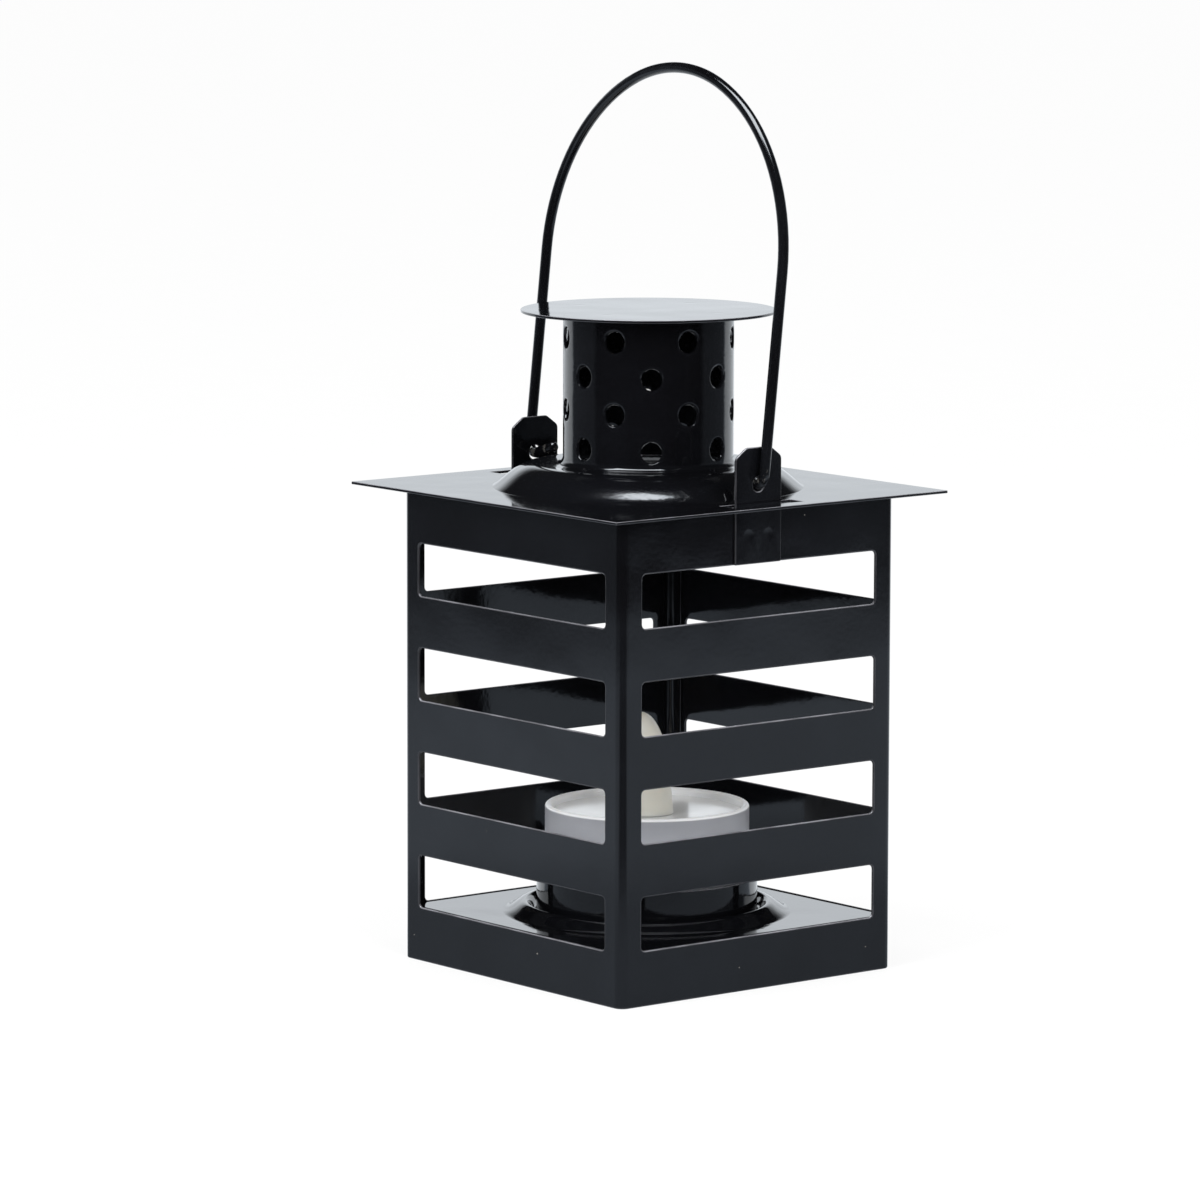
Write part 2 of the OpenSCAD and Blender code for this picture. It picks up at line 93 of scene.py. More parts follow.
class Finish:
    # one material or world and the nodes in it
    def __init__(self, owner):
        self.owner = owner
        owner.use_nodes = True
        self.tree = owner.node_tree
        self.tree.nodes.clear()

    def node(self, kind, settings=None, sockets=None, out=0):
        made = self.tree.nodes.new("ShaderNode" + kind)
        for name, value in (settings or {}).items():
            setattr(made, name, value)
        for name, value in (sockets or {}).items():
            if isinstance(value, Signal):
                self.tree.links.new(value.socket, made.inputs[name])
            else:
                made.inputs[name].default_value = value
        return Signal(self, made.outputs[out]) if made.outputs else None

    def place(self):
        return self.node("TexCoord", out="Object")

    def stretch(self, x, y, z):
        return self.node("Mapping", None, {"Vector": self.place(), "Scale": (x, y, z)})

    def along(self, vector, direction):
        return self.node("VectorMath", {"operation": "DOT_PRODUCT"}, {0: vector, 1: direction}, "Value")

    def length(self, vector):
        return self.node("VectorMath", {"operation": "LENGTH"}, {0: vector}, "Value")

    def height(self, vector):
        return self.node("SeparateXYZ", None, {"Vector": vector}, "Z")

    def facingUp(self):
        # 1 where the surface faces up, 0 where it is upright
        return self.height(self.node("NewGeometry", out="Normal"))

    def noise(self, scale, detail=2, roughness=0.5, vector=None):
        sockets = {"Vector": vector or self.place(), "Scale": scale, "Detail": detail,
                   "Roughness": roughness}
        return self.node("TexNoise", None, sockets, "Fac")

    def ramp(self, signal, low, high):
        # 0 at low, 1 at high and smooth between
        settings = {"interpolation_type": "SMOOTHSTEP"}
        return self.node("MapRange", settings, {"Value": signal, "From Min": low, "From Max": high})

    def blend(self, amount, first, second):
        # a Mix node has its colours on sockets 6 and 7 and on output 2
        return self.node("Mix", {"data_type": "RGBA"}, {0: amount, 6: first, 7: second}, 2)

    def specks(self, scale, share, size, core=0.6):
        # round specks in a share of a grid's cells, from 0 at their rims to 1 in their cores
        spots = self.node("TexVoronoi", None, {"Vector": self.place(), "Scale": scale})
        chance = self.node("SeparateColor", None, {"Color": spots.other("Color")})
        chosen = self.ramp(chance, 1 - share, 1 - share * 0.98)
        return self.ramp(spots, size, size * core) * chosen

    def relief(self, height):
        # height in metres
        return self.node("Bump", None, {"Height": height, "Distance": 1.0, "Strength": 1.0})

    def surface(self, sockets):
        self.node("OutputMaterial", None, {"Surface": self.node("BsdfPrincipled", None, sockets)})


def colour(red, green, blue):
    # the surface colour that shows as this 0 to 255 screen colour
    def linear(value):
        share = value / 255
        return share / 12.92 if share <= 0.04045 else ((share + 0.055) / 1.055) ** 2.4

    return (linear(red), linear(green), linear(blue), 1)


def deeper(tint, share):
    return tuple(channel * share for channel in tint[:3]) + (1,)


def fade(amount, first, second):
    # numbers or signals, first where amount is 0 and second where it is 1
    return first * (1 - amount) + second * amount


def newFinish(name):
    return Finish(bpy.data.materials.new(name))


# materials: scales are per metre, reliefs in metres, and a pair of numbers is where a ramp begins and ends

enamel = {
    "black": colour(8, 8, 10),
    "thin": colour(14, 15, 18),
    "cloudScale": 38,
    "cloudFrom": (0.3, 0.75),
    "edge": colour(50, 50, 53),  # where the paint is drawn thin
    "edgeTopPaintedHighlight": colour(138, 138, 144),  # painted highlight where the edge faces up
    "paintedHighlightFrom": (0.25, 0.7),
    "wearScale": 160,
    "wearFrom": (0.35, 0.65),
    "wearVaries": 0.45,
    "dust": colour(150, 146, 138),
    "dustCover": 0.7,
    "dustScale": 900,
    "dustShare": 0.003,
    "dustSize": 0.16,
    "peelScale": 1100,
    "peelHeight": 0.000008,
    "swellScale": 75,
    "swellHeight": 0.00014,
    "roughness": 0.05,
    "cloudRough": 0.05,
    "edgeRough": 0.12,
    "dustRough": 0.4,
    "ior": 1.5,
}


def makeEnamel():
    # stoved gloss black: orange peel, slow swells, paint drawn thin on the cut edges with a painted
    # highlight where they face up, a little dust
    finish = newFinish("blackEnamel")
    edge = finish.node("Attribute", {"attribute_name": "edge"}, out="Fac")
    cloud = finish.noise(enamel["cloudScale"], detail=3, roughness=0.6)
    wear = finish.ramp(finish.noise(enamel["wearScale"]), *enamel["wearFrom"])
    drawn = edge * ((1 - enamel["wearVaries"]) + enamel["wearVaries"] * wear)
    top = finish.ramp(finish.facingUp(), *enamel["paintedHighlightFrom"])  # painted highlight: the worn edges are lighter where they face up
    dust = finish.specks(enamel["dustScale"], enamel["dustShare"], enamel["dustSize"])
    body = finish.blend(finish.ramp(cloud, *enamel["cloudFrom"]), enamel["black"], enamel["thin"])
    # the drawn-thin edges, with a painted highlight on those that face up
    edgeWearAndHighlight = finish.blend(drawn, body, finish.blend(top, enamel["edge"], enamel["edgeTopPaintedHighlight"]))
    peel = finish.noise(enamel["peelScale"], roughness=0.45) * enamel["peelHeight"]
    swells = finish.noise(enamel["swellScale"], detail=1, roughness=0.4) * enamel["swellHeight"]
    matt = enamel["cloudRough"] * cloud + enamel["edgeRough"] * drawn + enamel["dustRough"] * dust
    finish.surface({
        "Base Color": finish.blend(dust * enamel["dustCover"], edgeWearAndHighlight, enamel["dust"]),
        "Roughness": enamel["roughness"] + matt,
        "Normal": finish.relief(peel + swells),
        "IOR": enamel["ior"],
    })
    return finish.owner


dippedWire = {
    "bare": colour(120, 118, 114),
    "rubFrom": (0.0925, 0.0885),  # heights, in metres
    "rubScale": 900,
    "rubSpots": (0.56, 0.7),
    "runScale": 260,
    "runLength": 0.12,
    "runFrom": (0.4, 0.7),
    "grainScale": 900,
    "grainHeight": 0.000004,
    "roughness": 0.1,
    "runRough": 0.06,
    "rubRough": 0.2,
}


def makeWireEnamel():
    # dipped wire, rubbed to the metal in spots at the height where the hooks turn in the ears
    finish = newFinish("wireEnamel")
    hooks = finish.ramp(finish.height(finish.place()), *dippedWire["rubFrom"])
    spots = finish.noise(dippedWire["rubScale"], detail=3, roughness=0.6)
    rub = hooks * finish.ramp(spots, *dippedWire["rubSpots"])
    runs = finish.noise(dippedWire["runScale"], vector=finish.stretch(1, 1, dippedWire["runLength"]))
    body = finish.blend(finish.ramp(runs, *dippedWire["runFrom"]), enamel["black"], enamel["thin"])
    matt = dippedWire["runRough"] * runs + dippedWire["rubRough"] * rub
    finish.surface({
        "Base Color": finish.blend(rub, body, dippedWire["bare"]),
        "Metallic": rub,
        "Roughness": dippedWire["roughness"] + matt,
        "Normal": finish.relief(finish.noise(dippedWire["grainScale"]) * dippedWire["grainHeight"]),
        "IOR": enamel["ior"],
    })
    return finish.owner


# tint, roughness, light let through, grain, and the lip's tint; a shell's wall tint is painted darker than
# its lip as shade
milky = {
    "shellPlastic": (colour(156, 158, 164), 0.3, 0.3, 0.000003, colour(252, 253, 254)),
    "dishPlastic": (colour(254, 255, 255), 0.1, 0, 0.0000005, None),
    "flamePlastic": (colour(216, 214, 205), 0.3, 0.8, 0.000003, None),
    "basePlastic": (colour(224, 227, 227), 0.36, 0.3, 0.000003, None),
    "doorPlastic": (colour(216, 219, 220), 0.4, 0.3, 0.000003, None),
}
milk = {
    "flowScale": 90,
    "flowSquash": 2.5,
    "flowFrom": (0.35, 0.7),
    "flowDeeper": 0.94,
    "flowRough": 0.1,
    "flowHeight": 0.00004,
    "speck": colour(140, 140, 136),
    "speckCover": 0.4,
    "speckScale": 700,
    "speckShare": 0.015,
    "speckSize": 0.14,
    "grainScale": 2600,
    "bore": (0.0177, 0.0172),  # distances from the middle, in metres
    "paintedLipLightFrom": (0.1, 0.6),
    "lightReach": (0.0022, 0.002, 0.0017),
    "ior": 1.48,
}


def makeMilkPlastic(name):
    # moulded translucent plastic with faint flow marks and a few trapped specks; a shell's wall is painted
    # darker than its lip as shade
    tint, roughness, glow, grainHeight, lip = milky[name]
    finish = newFinish(name)
    squashed = finish.stretch(1, 1, milk["flowSquash"])
    flow = finish.noise(milk["flowScale"], detail=3, roughness=0.55, vector=squashed)
    specks = finish.specks(milk["speckScale"], milk["speckShare"], milk["speckSize"])
    body = finish.blend(finish.ramp(flow, *milk["flowFrom"]), tint, deeper(tint, milk["flowDeeper"]))
    if lip:
        # painted shade and light: the wall keeps the darker tint, and the inside and the lip where it
        # faces up are painted white
        inside = finish.ramp(finish.length(finish.stretch(1, 1, 0)), *milk["bore"])
        rounded = finish.ramp(finish.facingUp(), *milk["paintedLipLightFrom"])
        body = finish.blend(inside | rounded, body, lip)
    grain = finish.noise(milk["grainScale"]) * grainHeight
    finish.surface({
        "Base Color": finish.blend(specks * milk["speckCover"], body, milk["speck"]),
        "Roughness": roughness + milk["flowRough"] * flow,
        "Subsurface Weight": glow,
        "Subsurface Radius": milk["lightReach"],
        "Subsurface Scale": 1.0,
        "Normal": finish.relief(grain + flow * milk["flowHeight"]),
        "IOR": milk["ior"],
    })
    return finish.owner


# tint, roughness and the stretch that lays the lines
metals = {
    "tinnedWire": (colour(196, 196, 198), 0.25, (1, 1, 0.1)),
    "cellSteel": (colour(205, 206, 208), 0.22, (1, 1, 1)),
    "contactBrass": (colour(222, 190, 122), 0.24, (1, 0.1, 1)),
    "springBrass": (colour(214, 180, 112), 0.26, (0.1, 1, 1)),
    "platedSteel": (colour(190, 190, 192), 0.28, (1, 1, 1)),
}
tarnish = {
    "scale": 220,
    "from": (0.45, 0.75),
    "deeper": 0.6,
    "roughFrom": (0.4, 0.8),
    "rough": 0.2,
    "lineScale": 2400,
    "lineRough": 0.08,
    "lineHeight": 0.000004,
}


def makeMetal(name):
    # plated or rolled metal with fine lines along its lay and a little tarnish
    tint, roughness, lay = metals[name]
    finish = newFinish(name)
    lines = finish.noise(tarnish["lineScale"], roughness=0.6, vector=finish.stretch(*lay))
    stain = finish.noise(tarnish["scale"], detail=3, roughness=0.6)
    matt = tarnish["rough"] * finish.ramp(stain, *tarnish["roughFrom"]) + tarnish["lineRough"] * lines
    finish.surface({
        "Base Color": finish.blend(finish.ramp(stain, *tarnish["from"]), tint,
                                   deeper(tint, tarnish["deeper"])),
        "Metallic": 1.0,
        "Roughness": roughness + matt,
        "Normal": finish.relief(lines * tarnish["lineHeight"]),
    })
    return finish.owner


resin = {
    "clear": colour(238, 236, 224),
    "cloudy": colour(216, 214, 202),
    "cloudScale": 500,
    "cloudHeight": 0.00001,
    "roughness": 0.08,
    "cloudRough": 0.1,
    "through": 0.6,
    "ior": 1.5,
}


def makeLampResin():
    # cast clear resin, a little cloudy
    finish = newFinish("lampResin")
    cloud = finish.noise(resin["cloudScale"])
    finish.surface({
        "Base Color": finish.blend(cloud, resin["clear"], resin["cloudy"]),
        "Roughness": resin["roughness"] + resin["cloudRough"] * cloud,
        "Transmission Weight": resin["through"],
        "IOR": resin["ior"],
        "Normal": finish.relief(cloud * resin["cloudHeight"]),
    })
    return finish.owner


knob = {
    "dark": colour(44, 45, 48),
    "pale": colour(62, 63, 66),
    "grainScale": 3000,
    "grainHeight": 0.000008,
    "roughness": 0.42,
    "grainRough": 0.12,
}


def makeKnobPlastic():
    # dark plastic with a fine moulded grain
    finish = newFinish("knobPlastic")
    grain = finish.noise(knob["grainScale"], roughness=0.6)
    finish.surface({
        "Base Color": finish.blend(grain, knob["dark"], knob["pale"]),
        "Roughness": knob["roughness"] + knob["grainRough"] * grain,
        "Normal": finish.relief(grain * knob["grainHeight"]),
    })
    return finish.owner


blackEnamel = makeEnamel()
wireEnamel = makeWireEnamel()
shellPlastic = makeMilkPlastic("shellPlastic")
dishPlastic = makeMilkPlastic("dishPlastic")
flamePlastic = makeMilkPlastic("flamePlastic")
print("materials made")


# mesh helpers: pieces are built in millimetres and scaled to metres when they are done

mm = 0.001
near = 0.01  # a point this close to a line counts as on it
weldReach = 0.004  # points closer than this become one
cutReach = 0.0005
foldAngle = 50  # edges that turn more than this many degrees are folds or cut edges


def boxOf(node):
    low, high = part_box(node)
    return low / mm, high / mm


def middleOf(node):
    low, high = boxOf(node)
    return Vector([(a + b) / 2 for a, b in zip(low, high)])


def centre(face):
    return face.calc_center_median()


def whole(bm):
    return bm.verts[:] + bm.edges[:] + bm.faces[:]


def once(parts):
    # each part once, in the order in which it first comes
    return list(dict.fromkeys(parts))


def onlyVerts(geometry):
    return [part for part in geometry if isinstance(part, bmesh.types.BMVert)]


def onlyEdges(geometry):
    return [part for part in geometry if isinstance(part, bmesh.types.BMEdge)]


def openEdges(geometry):
    return [edge for edge in onlyEdges(geometry) if edge.is_boundary]


def foldedEdges(bm):
    return [e for e in bm.edges if e.calc_face_angle(0) > radians(foldAngle)]


def newShape():
    bm = bmesh.new()
    bm.faces.layers.float.new("edge")  # 1 on the worn edges
    return bm


def grow(bm, edges):
    # extrudes a chain of edges in place and gives its new edges and vertices
    made = bmesh.ops.extrude_edge_only(bm, edges=edges)["geom"]
    return openEdges(made), onlyVerts(made)


def addShape(bm, part):
    # moves one shape into another
    carrier = bpy.data.meshes.new("carrier")
    part.to_mesh(carrier)
    part.free()
    bm.from_mesh(carrier)
    bpy.data.meshes.remove(carrier)


class Pen:
    # draws a chain of edges in the XZ plane by extruding and turning its last vertex
    def __init__(self, bm, x, z):
        self.bm = bm
        self.tip = bm.verts.new((x, 0, z))

    def line(self, x, z):
        self.tip = bmesh.ops.extrude_vert_indiv(self.bm, verts=[self.tip])["verts"][0]
        self.tip.co = (x, 0, z)
        return self

    def arc(self, x, z, angle, steps=6):
        # about (x, z); a positive angle turns from +X to +Z
        turned = bmesh.ops.spin(self.bm, geom=[self.tip], cent=(x, 0, z), axis=(0, -1, 0),
                                angle=radians(angle), steps=steps)
        self.tip = turned["geom_last"][0]
        return self

    def corner(self, x, z, onX, onZ, radius, steps=4):
        # runs up to (x, z) and rounds the turn towards (onX, onZ)
        at = Vector((x, z))
        came = (at - self.tip.co.xz).normalized()
        goes = (Vector((onX, onZ)) - at).normalized()
        turned = -came.angle_signed(goes)
        start = at - came * radius * tan(abs(turned) / 2)
        side = Vector((-came.y, came.x)) * (radius if turned > 0 else -radius)
        self.line(*start)
        return self.arc(start.x + side.x, start.y + side.y, degrees(turned), steps)

    def step(self, x, z, steps):
        # a smooth step, level at both ends
        fromX, _, fromZ = self.tip.co
        for i in range(1, steps + 1):
            share = i / steps
            self.line(fromX + (x - fromX) * share, fromZ + (z - fromZ) * (1 - cos(pi * share)) / 2)
        return self

    def shoulder(self, x, z, flare, steps):
        # a round shoulder down to a soft foot, which a larger flare makes longer
        fromX, _, fromZ = self.tip.co
        for i in range(1, steps + 1):
            angle = pi / 2 * i / steps
            self.line(fromX + (x - fromX) * sin(angle), z + (fromZ - z) * cos(angle) ** flare)
        return self


def weld(bm, reach=weldReach):
    bmesh.ops.remove_doubles(bm, verts=bm.verts[:], dist=reach)
    bmesh.ops.recalc_face_normals(bm, faces=bm.faces[:])


def revolve(bm, steps=96):
    bmesh.ops.spin(bm, geom=bm.verts[:] + bm.edges[:], cent=(0, 0, 0), axis=(0, 0, 1),
                   angle=2 * pi, steps=steps, use_merge=True)
    weld(bm)


def turn(bm, angle, axis):
    bmesh.ops.rotate(bm, verts=bm.verts[:], cent=(0, 0, 0),
                     matrix=Matrix.Rotation(radians(angle), 3, axis))


def shift(bm, x, y, z, verts=None):
    bmesh.ops.translate(bm, vec=(x, y, z), verts=verts or bm.verts[:])


def lift(bm, distance, verts=None):
    shift(bm, 0, 0, distance, verts)


def mirrorAcross(bm, axis):
    bmesh.ops.mirror(bm, geom=whole(bm), axis=axis, merge_dist=weldReach / 2)
    weld(bm)


def cut(bm, point, normal, faces=None):
    parts = whole(bm)
    if faces is not None:
        edges = once(edge for face in faces for edge in face.edges)
        parts = faces + edges + once(vert for face in faces for vert in face.verts)
    bmesh.ops.bisect_plane(bm, geom=parts, dist=cutReach, plane_co=point, plane_no=normal)


def plateFromQuarter(bm):
    # fills a quarter drawn in the XZ plane, lays it flat and mirrors it to the whole plate
    weld(bm)
    bmesh.ops.contextual_create(bm, geom=bm.edges[:])
    turn(bm, -90, "X")
    mirrorAcross(bm, "X")
    mirrorAcross(bm, "Y")


def fillAround(bm, normal):
    # fills between the outline and the dents and holes in it
    loops = [e for e in bm.edges if len(e.link_faces) < 2]
    bmesh.ops.triangle_fill(bm, use_beauty=True, edges=loops, normal=normal)


def bevel(bm, parts, width, steps, affect="EDGES"):
    return bmesh.ops.bevel(bm, geom=parts, offset=width, offset_type="OFFSET", segments=steps,
                           profile=0.5, affect=affect, material=-1, clamp_overlap=False)["faces"]


def soften(bm, edges, width, steps):
    # rounds edges off and marks them as worn
    mark = bm.faces.layers.float["edge"]
    for face in bevel(bm, edges, width, steps):
        face[mark] = 1.0


def upwards(point):
    return Vector((0, 0, 1))


def outwards(point):
    return Vector((point.x, point.y, 0))


def outAndDown(point):
    return Vector((point.x, point.y, -1))


def rightwards(point):
    return Vector((1, 0, 0))


def thicken(bm, sheet, facing, rollover=0, burr=0):
    # gives the drawn skin its sheet behind it, rolls its punched edges over and dulls the back ones
    outside = [f.normal.dot(facing(centre(f))) > 0 for f in bm.faces]
    if sum(outside) < len(outside) / 2:
        bmesh.ops.reverse_faces(bm, faces=bm.faces[:])
    rims = [e for e in bm.edges if e.is_boundary]
    bmesh.ops.solidify(bm, geom=bm.faces[:], thickness=sheet)
    if rollover:
        soften(bm, rims, rollover, steps=3)
    if burr:
        soften(bm, foldedEdges(bm), burr, steps=2)


def placePiece(bm, name, body, nodes, material, smoothAngle=40):
    bmesh.ops.scale(bm, vec=(mm, mm, mm), verts=bm.verts[:])
    mesh = bpy.data.meshes.new(name)
    bm.to_mesh(mesh)
    bm.free()
    mesh.shade_smooth()
    mesh.set_sharp_from_angle(angle=radians(smoothAngle))
    mesh.materials.append(material)
    piece = bpy.data.objects.new(name, mesh)
    bpy.context.collection.objects.link(piece)
    even = piece.modifiers.new("evenShading", "WEIGHTED_NORMAL")
    even.keep_sharp = True
    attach(piece, body)
    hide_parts(*nodes)
    print("made", name, len(mesh.polygons), "faces")


# the body: a slotted strip bent round to a square tube, lapped behind its seam in the rear left corner

shell = {
    "sheet": 0.5,
    "bendRadius": 1.8,
    "bendSteps": 8,
    "slotRows": 4,
    "baseBand": 9.7,
    "slotHeight": 9.4,
    "slatHeight": 9.3,
    "post": 4.6,
    "slotCorner": 0.8,
    "cornerSteps": 5,
    "rollover": 0.26,
    "burr": 0.2,
    "seam": 0.2,
    "lap": 2.0,
    "lapGap": 0.02,
    "lapShort": 0.3,
    "lapBevel": 0.08,
}


def makeBodyShell():
    high = boxOf("body_shell")[1]
    wall = high.x
    flat = wall - shell["bendRadius"]
    slotEnd = wall - shell["post"]
    pitch = shell["slotHeight"] + shell["slatHeight"]
    bottoms = [shell["baseBand"] + i * pitch for i in range(shell["slotRows"])]
    slots = [(bottom, bottom + shell["slotHeight"]) for bottom in bottoms]

    # half a wall, cut along the slots' lines
    bm = newShape()
    Pen(bm, 0, 0).line(flat, 0).line(flat, high.z).line(0, high.z).line(0, 0)
    weld(bm)
    bmesh.ops.contextual_create(bm, geom=bm.edges[:])
    shift(bm, 0, -wall, 0)
    cut(bm, (slotEnd, 0, 0), (1, 0, 0))
    for bottom, top in slots:
        cut(bm, (0, 0, bottom), (0, 0, 1))
        cut(bm, (0, 0, top), (0, 0, 1))
    punched = [f for f in bm.faces if centre(f).x < slotEnd
               and any(bottom < centre(f).z < top for bottom, top in slots)]
    bmesh.ops.delete(bm, geom=punched, context="FACES")
    bmesh.ops.dissolve_limit(bm, angle_limit=0.01, verts=bm.verts[:], edges=bm.edges[:])
    corners = [v for v in bm.verts if abs(v.co.x - slotEnd) < near]
    bevel(bm, corners, shell["slotCorner"], shell["cornerSteps"], "VERTICES")
    mirrorAcross(bm, "X")

    # the bend on its left, then four of them
    left = [e for e in bm.edges if all(v.co.x < -flat + near for v in e.verts)]
    ends = once(vert for edge in left for vert in edge.verts)
    bmesh.ops.spin(bm, geom=left + ends, cent=(-flat, -flat, 0), axis=(0, 0, 1),
                   angle=radians(-90), steps=shell["bendSteps"])
    bmesh.ops.spin(bm, geom=whole(bm), cent=(0, 0, 0), axis=(0, 0, 1),
                   angle=radians(270), steps=3, use_duplicate=True)
    weld(bm)

    # the seam is a narrow gap at the end of the rear wall
    seamX = -flat + shell["seam"]
    cut(bm, (seamX, 0, 0), (1, 0, 0), [f for f in bm.faces if centre(f).y > wall - near])
    sliver = [f for f in bm.faces if centre(f).y > wall - near and -flat < centre(f).x < seamX]
    bmesh.ops.delete(bm, geom=sliver, context="FACES")
    thicken(bm, shell["sheet"], outwards, shell["rollover"], shell["burr"])

    # the lap lies against the wall's inside, behind the seam
    lap = bmesh.ops.create_cube(bm, size=1)["verts"]
    size = (shell["lap"], shell["sheet"] - shell["lapGap"], high.z - shell["lapShort"])
    bmesh.ops.scale(bm, vec=size, verts=lap)
    shift(bm, -flat + shell["lap"] / 2, wall - 1.5 * shell["sheet"], high.z / 2, lap)
    soften(bm, once(edge for vert in lap for edge in vert.link_edges), shell["lapBevel"], steps=2)
    placePiece(bm, "bodyShell", "housing", ["body_shell"], blackEnamel)


# the base: a pressed plate with a round bead and folded flanges, and the cup on it

base = {
    "sheet": 0.5,
    "notch": 1.5,
    "lapNotch": 2.0,
    "flange": 6,
    "flangeBend": 0.7,
    "flangeSteps": 4,
    "beadHeight": 1.8,
    "beadWidth": 6,
    "beadCrest": 1.8,
    "beadGap": 0.2,
    "innerSteps": 12,
    "outerSteps": 16,
    "quarterSteps": 24,
    "burr": 0.08,
}


def makeBasePlate():
    half = boxOf("base_plate")[1].x
    cupLow, cupHigh = boxOf("candle_cup")
    beadIn = cupHigh.x + base["beadGap"]
    beadOut = beadIn + base["beadWidth"]
    notched = half - base["notch"]

    bm = newShape()
    pen = Pen(bm, beadOut, 0)
    pen.line(half, 0).line(half, notched).line(notched, notched).line(notched, half)
    pen.line(0, half).line(0, beadOut).arc(0, 0, -90, base["quarterSteps"])
    plateFromQuarter(bm)

    # the rear left notch is longer, to clear the lap
    lapEnd = -notched + base["lapNotch"]
    cut(bm, (lapEnd, 0, 0), (1, 0, 0))
    cut(bm, (0, notched, 0), (0, 1, 0), [f for f in bm.faces if centre(f).x < lapEnd])
    gone = [f for f in bm.faces if centre(f).x < lapEnd and centre(f).y > notched]
    bmesh.ops.delete(bm, geom=gone, context="FACES")

    def onSide(edge, way):
        return all(abs(abs(v.co[way]) - half) < near for v in edge.verts)

    flange = grow(bm, [e for e in bm.edges if onSide(e, 0) or onSide(e, 1)])
    lift(bm, -base["flange"], flange[1])
    bevel(bm, foldedEdges(bm), base["flangeBend"], base["flangeSteps"])

    disc = newShape()
    pen = Pen(disc, 0, 0).line(beadIn / 2, 0).line(beadIn, 0)
    pen.step(beadIn + base["beadCrest"], base["beadHeight"], base["innerSteps"])
    pen.step(beadOut, 0, base["outerSteps"])
    revolve(disc)
    addShape(bm, disc)
    weld(bm)
    lift(bm, cupLow.z)
    thicken(bm, base["sheet"], upwards, base["burr"], base["burr"])
    placePiece(bm, "basePlate", "housing", ["base_plate"], blackEnamel)


cup = {
    "sheet": 0.4,
    "footRadius": 1.0,
    "burr": 0.12,
    "steps": 128,
}


def makeCandleCup():
    low, high = boxOf("candle_cup")
    foot = cup["footRadius"]
    bm = newShape()
    pen = Pen(bm, 0, low.z).line(high.x / 2, low.z).line(high.x - foot, low.z)
    pen.arc(high.x - foot, low.z + foot, 90).line(high.x, high.z)
    revolve(bm, cup["steps"])
    thicken(bm, cup["sheet"], outAndDown, cup["burr"], cup["burr"])
    placePiece(bm, "candleCup", "housing", ["candle_cup"], blackEnamel)


# the ears: cut-cornered strips, spot welded to the body

ear = {
    "sheet": 0.5,
    "cutAcross": 2.5,
    "cutDown": 1.8,
    "cutRadius": 1.2,
    "hinge": 3.8,
    "hole": 1.3,
    "holeSteps": 16,
    "weldPitch": 4.4,
    "weldRadius": 1.3,
    "weldDepth": 0.04,
    "burr": 0.2,
}


def makeDent(radius, depth):
    # a shallow weld dent round the origin, pressed towards +Y from the XZ plane
    dent = newShape()
    ball = (radius ** 2 + depth ** 2) / (2 * depth)
    rim = dent.verts.new((radius, 0, 0))
    bmesh.ops.spin(dent, geom=[rim], cent=(0, depth - ball, 0), axis=(0, 0, 1),
                   angle=asin(radius / ball), steps=4)
    bmesh.ops.spin(dent, geom=dent.verts[:] + dent.edges[:], cent=(0, 0, 0), axis=(0, 1, 0),
                   angle=2 * pi, steps=20, use_merge=True)
    weld(dent)
    return dent


def makeEar(name, node, side):
    low, high = boxOf(node)
    bodyTop = boxOf("body_shell")[1].z
    half = (high.y - low.y) / 2
    hinge = bodyTop + ear["hinge"]
    shoulder = high.z - ear["cutDown"]
    cutX = half - ear["cutAcross"]
    bm = newShape()
    pen = Pen(bm, 0, low.z).line(half, low.z)
    pen.corner(half, shoulder, cutX, high.z, ear["cutRadius"])
    pen.corner(cutX, high.z, 0, high.z, ear["cutRadius"])
    pen.line(0, high.z).line(0, hinge + ear["hole"]).arc(0, hinge, -180, ear["holeSteps"])
    pen.line(0, low.z)
    weld(bm)
    dent = makeDent(ear["weldRadius"], ear["weldDepth"])
    shift(dent, ear["weldPitch"] / 2, 0, (low.z + bodyTop) / 2)
    addShape(bm, dent)
    fillAround(bm, (0, -1, 0))
    mirrorAcross(bm, "X")
    turn(bm, 90, "Z")
    shift(bm, boxOf("ear_right")[1].x, middleOf(node).y * side, 0)
    thicken(bm, ear["sheet"], rightwards, ear["burr"], ear["burr"])
    if side < 0:
        turn(bm, 180, "Z")
    placePiece(bm, name, "housing", [node], blackEnamel)


# the roof: a square plate pressed up to a dome, the perforated chimney on its seat, and the flat cap

roof = {
    "sheet": 0.5,
    "domeFoot": 27.6,
    "domeCrest": 20,
    "domeHeight": 4.2,
    "flare": 2.6,
    "seatDrop": 0.1,
    "seat": 16.8,
    "vent": 12.6,
    "quarterSteps": 24,
    "seatSteps": 8,
    "domeSteps": 20,
    "earSlotHalf": 8,
    "earSlotIn": 30.6,
    "earSlotOut": 34.1,
    "burr": 0.11,
    "fillet": 1.3,
    "filletSteps": 8,
    "filletIn": 0.2,
    "filletSunk": 0.1,
}


